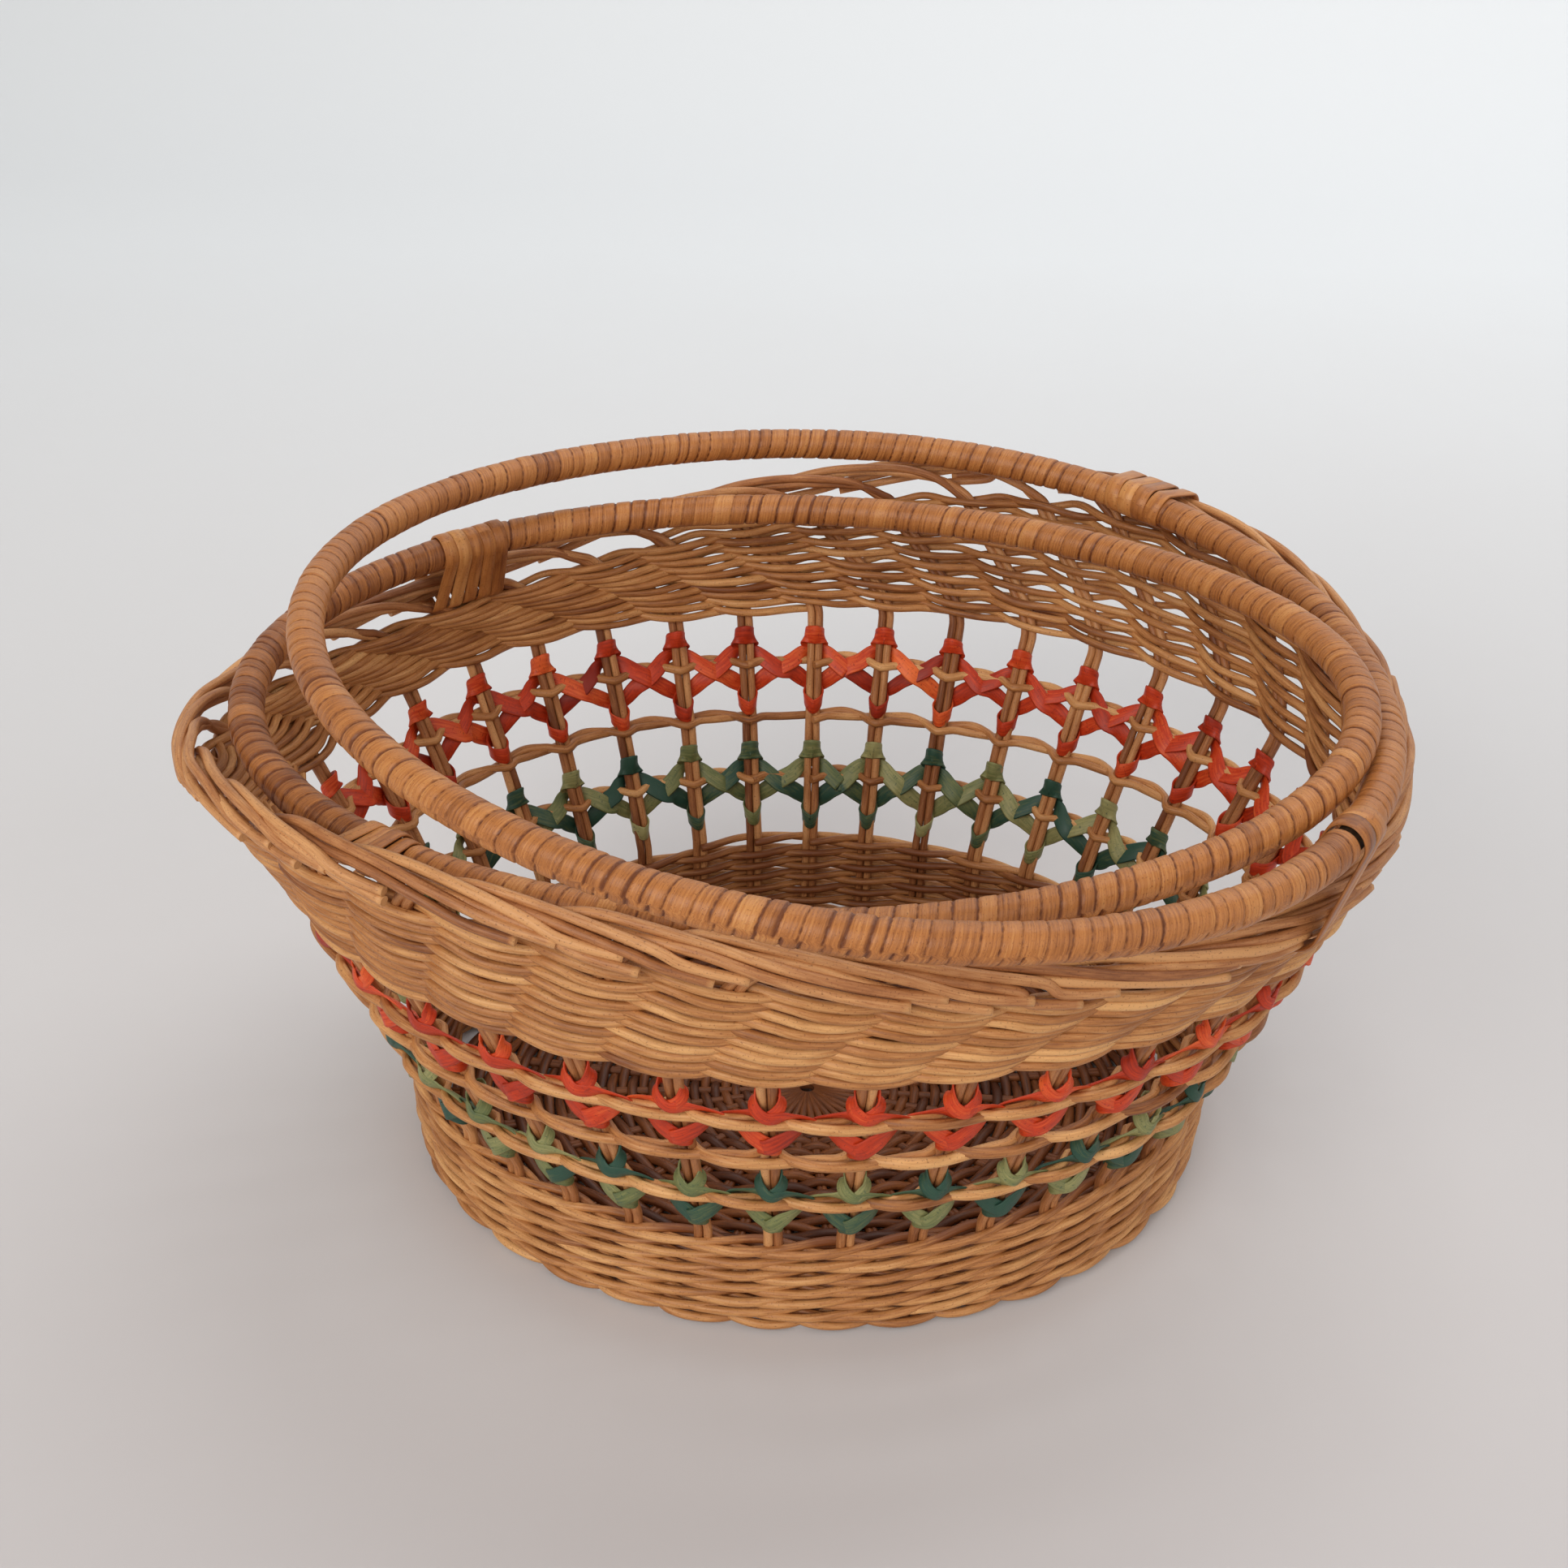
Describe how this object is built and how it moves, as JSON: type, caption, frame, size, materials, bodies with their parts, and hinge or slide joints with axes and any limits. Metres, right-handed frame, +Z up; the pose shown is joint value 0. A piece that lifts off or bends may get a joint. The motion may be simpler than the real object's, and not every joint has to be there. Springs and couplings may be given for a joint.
{
  "type": "woven fruit basket",
  "caption": "Open oval reed basket with a flared wall, a see-through band crossed by green and orange strips, and two cane-wrapped hoop handles that fold down onto the rim.",
  "frame": {"origin": "middle of the floor mat's underside, on the surface that the basket stands on", "axes": "+Z up; +X along the long way of the oval, to the end where the upper handle is lashed; -Y to the front, where the picture was taken from"},
  "size_m": [0.2982, 0.2588, 0.1688],
  "materials": {
    "weaving_reed": "fine round reed, light golden tan, dry satin",
    "stake_reed": "round reed, warm brown, satin",
    "green_cane": "flat cane stained sage green, teal at the edges, matt",
    "orange_cane": "flat cane stained red-orange, matt",
    "hoop_cane": "flat cane wrapped in close turns, caramel, low sheen",
    "hoop_core": "bare rattan rod, dark brown, matt"
  },
  "bodies": {
    "basket": {"floor_mat": "weaving_reed", "foot_band": "weaving_reed", "green_strip": "green_cane", "lower_handle_lashing_back": "hoop_cane", "lower_handle_lashing_front": "hoop_cane", "orange_strip": "orange_cane", "rolled_border": "weaving_reed", "stake_pair_01": "stake_reed", "stake_pair_02": "stake_reed", "stake_pair_03": "stake_reed", "stake_pair_04": "stake_reed", "stake_pair_05": "stake_reed", "stake_pair_06": "stake_reed", "stake_pair_07": "stake_reed", "stake_pair_08": "stake_reed", "stake_pair_09": "stake_reed", "stake_pair_10": "stake_reed", "stake_pair_11": "stake_reed", "stake_pair_12": "stake_reed", "stake_pair_13": "stake_reed", "stake_pair_14": "stake_reed", "stake_pair_15": "stake_reed", "stake_pair_16": "stake_reed", "stake_pair_17": "stake_reed", "stake_pair_18": "stake_reed", "stake_pair_19": "stake_reed", "stake_pair_20": "stake_reed", "stake_pair_21": "stake_reed", "stake_pair_22": "stake_reed", "stake_pair_23": "stake_reed", "stake_pair_24": "stake_reed", "stake_pair_25": "stake_reed", "stake_pair_26": "stake_reed", "stake_pair_27": "stake_reed", "stake_pair_28": "stake_reed", "stake_pair_29": "stake_reed", "stake_pair_30": "stake_reed", "stake_pair_31": "stake_reed", "stake_pair_32": "stake_reed", "stake_pair_33": "stake_reed", "stake_pair_34": "stake_reed", "stake_pair_35": "stake_reed", "twined_row_green": "weaving_reed", "twined_row_middle": "weaving_reed", "twined_row_orange": "weaving_reed", "upper_band": "weaving_reed", "upper_handle_lashing_back": "hoop_cane", "upper_handle_lashing_front": "hoop_cane"},
    "lower_handle": {"lower_handle_core": "hoop_core", "lower_handle_long_wrap": "hoop_cane", "lower_handle_short_wrap": "hoop_cane"},
    "upper_handle": {"upper_handle_core": "hoop_core", "upper_handle_long_wrap": "hoop_cane", "upper_handle_short_wrap": "hoop_cane"}
  },
  "joints": [
    {"name": "upper_handle_hinge", "type": "hinge", "parent": "basket", "child": "upper_handle", "pos_m": [0.09995, 0.00473, 0.14519], "axis": [-0.1186, 0.9929, -0.0053], "range_deg": [0, 50]},
    {"name": "lower_handle_hinge", "type": "hinge", "parent": "basket", "child": "lower_handle", "pos_m": [-0.09339, -0.00744, 0.13759], "axis": [0.0294, -0.9995, -0.0072], "range_deg": [0, 50]}
  ],
  "couplings": [
    {"joint": "lower_handle_hinge", "follows": "upper_handle_hinge", "ratio": 1}
  ]
}
